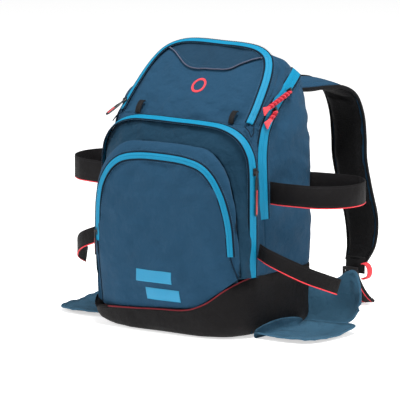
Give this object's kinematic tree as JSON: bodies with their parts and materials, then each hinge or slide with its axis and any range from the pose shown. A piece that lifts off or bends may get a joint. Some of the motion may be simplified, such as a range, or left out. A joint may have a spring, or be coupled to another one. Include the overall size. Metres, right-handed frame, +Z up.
{
  "type": "ski boot bag",
  "caption": "Backpack-shaped ski boot bag with zipped compartments, shoulder straps and open side bays that carry boots.",
  "frame": {"origin": "centre of the base's underside, on the surface that the bag stands on", "axes": "+Z up, -Y out of the front pocket, +Y towards the wearer, +X across the bag to its right seen from the front"},
  "size_m": [0.612, 0.4665, 0.5136],
  "materials": {
    "fabric_blue": "fine woven polyester with a slight sheen",
    "fabric_yoke": "fine woven polyester, slightly lighter",
    "fabric_dark": "fine woven lining and shaded gusset cloth",
    "fabric_base": "coated abrasion-resistant base cloth",
    "piping": "narrow corded piping",
    "mesh_black": "padded spacer mesh",
    "foam": "closed-cell foam",
    "frame_plastic": "thin flexible sheet",
    "zip_tape": "coated zip tape",
    "webbing": "ribbed woven webbing",
    "red_trim": "thin woven trim",
    "pull_red": "braided cord with a moulded end",
    "blue_mark": "flat printed bars",
    "slider_metal": "black enamel",
    "pull_black": "moulded pull with a red stripe",
    "buckle_plastic": "moulded, lightly textured",
    "cradle_fabric": "fine woven polyester"
  },
  "bodies": {
    "pack": {"base_floor": "fabric_base", "base_front": "fabric_base", "base_panel": "fabric_base", "base_piping": "piping", "back_panel": "mesh_black", "back_padding": "foam", "frame_sheet": "frame_plastic", "side_panel_left": "fabric_blue", "side_panel_right": "fabric_blue", "divider_panel": "fabric_dark", "main_zip_track_left": "zip_tape", "main_zip_track_right": "zip_tape", "strap_yoke": "mesh_black", "anchor_webbing_left": "webbing", "anchor_webbing_right": "webbing", "heel_panel_left": "cradle_fabric", "heel_panel_right": "cradle_fabric"},
    "hood": {"hood_side_left": "fabric_blue", "hood_side_right": "fabric_blue", "hood_top_strip": "fabric_blue", "hood_inner_wall": "fabric_dark", "upper_zip_track": "zip_tape"},
    "upper_flap": {"upper_panel": "fabric_blue", "yoke_panel": "fabric_yoke", "front_mark": "red_trim", "loop_tab_left": "webbing", "loop_tab_right": "webbing"},
    "middle_section": {"middle_gusset": "fabric_dark", "middle_zip_track": "zip_tape", "pocket_back_wall": "fabric_dark", "pocket_gusset": "fabric_blue", "pocket_lower_panel": "fabric_blue", "pocket_zip_track": "zip_tape", "pocket_mark": "blue_mark"},
    "pocket_flap_body": {"pocket_flap": "fabric_blue"},
    "upper_slider": {"upper_zip_slider": "slider_metal"},
    "upper_pull": {"upper_zip_pull": "pull_black"},
    "main_slider_top": {"main_zip_slider_top": "slider_metal"},
    "main_pull_top": {"main_zip_pull_top": "pull_red"},
    "main_slider_low": {"main_zip_slider_low": "slider_metal"},
    "main_pull_low": {"main_zip_pull_low": "pull_red"},
    "middle_slider": {"middle_zip_slider": "slider_metal"},
    "middle_pull": {"middle_zip_pull": "pull_black"},
    "pocket_slider": {"pocket_zip_slider": "slider_metal"},
    "pocket_pull": {"pocket_zip_pull": "pull_black"},
    "haul": {"haul_loop": "webbing"},
    "strap_left": {"shoulder_strap_left": "mesh_black", "strap_loop_left": "red_trim", "strap_adjuster_left": "buckle_plastic"},
    "tail_left": {"webbing_tail_left": "webbing"},
    "band_left": {"boot_band_left": "webbing"},
    "instep_left": {"instep_strap_left": "webbing"},
    "cradle_left": {"boot_cradle_left": "cradle_fabric"},
    "strap_right": {"shoulder_strap_right": "mesh_black", "strap_loop_right": "red_trim", "strap_adjuster_right": "buckle_plastic"},
    "tail_right": {"webbing_tail_right": "webbing"},
    "band_right": {"boot_band_right": "webbing"},
    "instep_right": {"instep_strap_right": "webbing"},
    "cradle_right": {"boot_cradle_right": "cradle_fabric"}
  },
  "joints": [
    {"name": "hood_fold", "type": "hinge", "parent": "pack", "child": "hood", "pos_m": [0, -0.047, 0.38], "axis": [1, 0, 0], "range_deg": [0, 80]},
    {"name": "upper_panel_open", "type": "hinge", "parent": "hood", "child": "upper_flap", "pos_m": [0, -0.0444, 0.38208], "axis": [1, 0, 0], "range_deg": [0, 65]},
    {"name": "middle_section_open", "type": "hinge", "parent": "pack", "child": "middle_section", "pos_m": [0, -0.1235, 0.0454], "axis": [1, 0, 0], "range_deg": [0, 30]},
    {"name": "pocket_flap_open", "type": "hinge", "parent": "middle_section", "child": "pocket_flap_body", "pos_m": [0, -0.1285, 0.151], "axis": [1, 0, 0], "range_deg": [0, 110]},
    {"name": "upper_zip_slide", "type": "slide", "parent": "hood", "child": "upper_slider", "axis": [0, 0.6811, 0.7322], "range_m": [0, 0.05]},
    {"name": "upper_pull_swing", "type": "hinge", "parent": "upper_slider", "child": "upper_pull", "pos_m": [-0.141, -0.03588, 0.39983], "axis": [-0.9397, 0.233, 0.2504], "range_deg": [0, 60]},
    {"name": "main_zip_top_slide", "type": "slide", "parent": "hood", "child": "main_slider_top", "axis": [-0.1444, 0.9024, 0.4061], "range_m": [-0.028, 0.028]},
    {"name": "main_pull_top_swing", "type": "hinge", "parent": "main_slider_top", "child": "main_pull_top", "pos_m": [0.1561, 0.062, 0.43], "axis": [0, -0.2672, 0.9636], "range_deg": [0, 70]},
    {"name": "main_zip_low_slide", "type": "slide", "parent": "hood", "child": "main_slider_low", "axis": [-0.1459, 0.7293, 0.6685], "range_m": [-0.01, 0.005]},
    {"name": "main_pull_low_swing", "type": "hinge", "parent": "main_slider_low", "child": "main_pull_low", "pos_m": [0.1636, 0.008, 0.402], "axis": [0, -0.5446, 0.8387], "range_deg": [0, 70]},
    {"name": "middle_zip_slide", "type": "slide", "parent": "middle_section", "child": "middle_slider", "axis": [0, 0, 1], "range_m": [-0.15, 0.015]},
    {"name": "middle_pull_swing", "type": "hinge", "parent": "middle_slider", "child": "middle_pull", "pos_m": [0.1713, -0.064, 0.302], "axis": [0, -1, 0], "range_deg": [0, 80]},
    {"name": "pocket_zip_slide", "type": "slide", "parent": "middle_section", "child": "pocket_slider", "axis": [0, 0, 1], "range_m": [0, 0.06]},
    {"name": "pocket_pull_swing", "type": "hinge", "parent": "pocket_slider", "child": "pocket_pull", "pos_m": [-0.15251, -0.11235, 0.17], "axis": [-0.6428, 0.766, 0], "range_deg": [0, 80]},
    {"name": "shoulder_strap_lift_left", "type": "hinge", "parent": "pack", "child": "strap_left", "pos_m": [-0.088, 0.131, 0.436], "axis": [1, 0, 0], "range_deg": [0, 40]},
    {"name": "webbing_tail_swing_left", "type": "hinge", "parent": "strap_left", "child": "tail_left", "pos_m": [-0.128, 0.2965, 0.071], "axis": [1, 0, 0], "range_deg": [0, 70]},
    {"name": "boot_band_swing_left", "type": "hinge", "parent": "pack", "child": "band_left", "pos_m": [-0.1658, -0.014, 0.258], "axis": [0, 0, 1], "range_deg": [0, 60]},
    {"name": "instep_strap_swing_left", "type": "hinge", "parent": "pack", "child": "instep_left", "pos_m": [-0.169, -0.052, 0.158], "axis": [0, 0, 1], "range_deg": [0, 70]},
    {"name": "boot_cradle_fold_left", "type": "hinge", "parent": "pack", "child": "cradle_left", "pos_m": [-0.1656, 0.016, 0.0015], "axis": [0, 1, 0], "range_deg": [0, 28]},
    {"name": "shoulder_strap_lift_right", "type": "hinge", "parent": "pack", "child": "strap_right", "pos_m": [0.088, 0.131, 0.436], "axis": [1, 0, 0], "range_deg": [0, 40]},
    {"name": "webbing_tail_swing_right", "type": "hinge", "parent": "strap_right", "child": "tail_right", "pos_m": [0.128, 0.2965, 0.071], "axis": [1, 0, 0], "range_deg": [0, 70]},
    {"name": "boot_band_swing_right", "type": "hinge", "parent": "pack", "child": "band_right", "pos_m": [0.1658, -0.014, 0.258], "axis": [0, 0, -1], "range_deg": [0, 60]},
    {"name": "instep_strap_swing_right", "type": "hinge", "parent": "pack", "child": "instep_right", "pos_m": [0.169, -0.052, 0.158], "axis": [0, 0, -1], "range_deg": [0, 70]},
    {"name": "boot_cradle_fold_right", "type": "hinge", "parent": "pack", "child": "cradle_right", "pos_m": [0.1656, 0.016, 0.0015], "axis": [0, -1, 0], "range_deg": [0, 28]},
    {"name": "haul_loop_fold", "type": "hinge", "parent": "pack", "child": "haul", "pos_m": [0, 0.135, 0.447], "axis": [-1, 0, 0], "range_deg": [0, 110]}
  ]
}
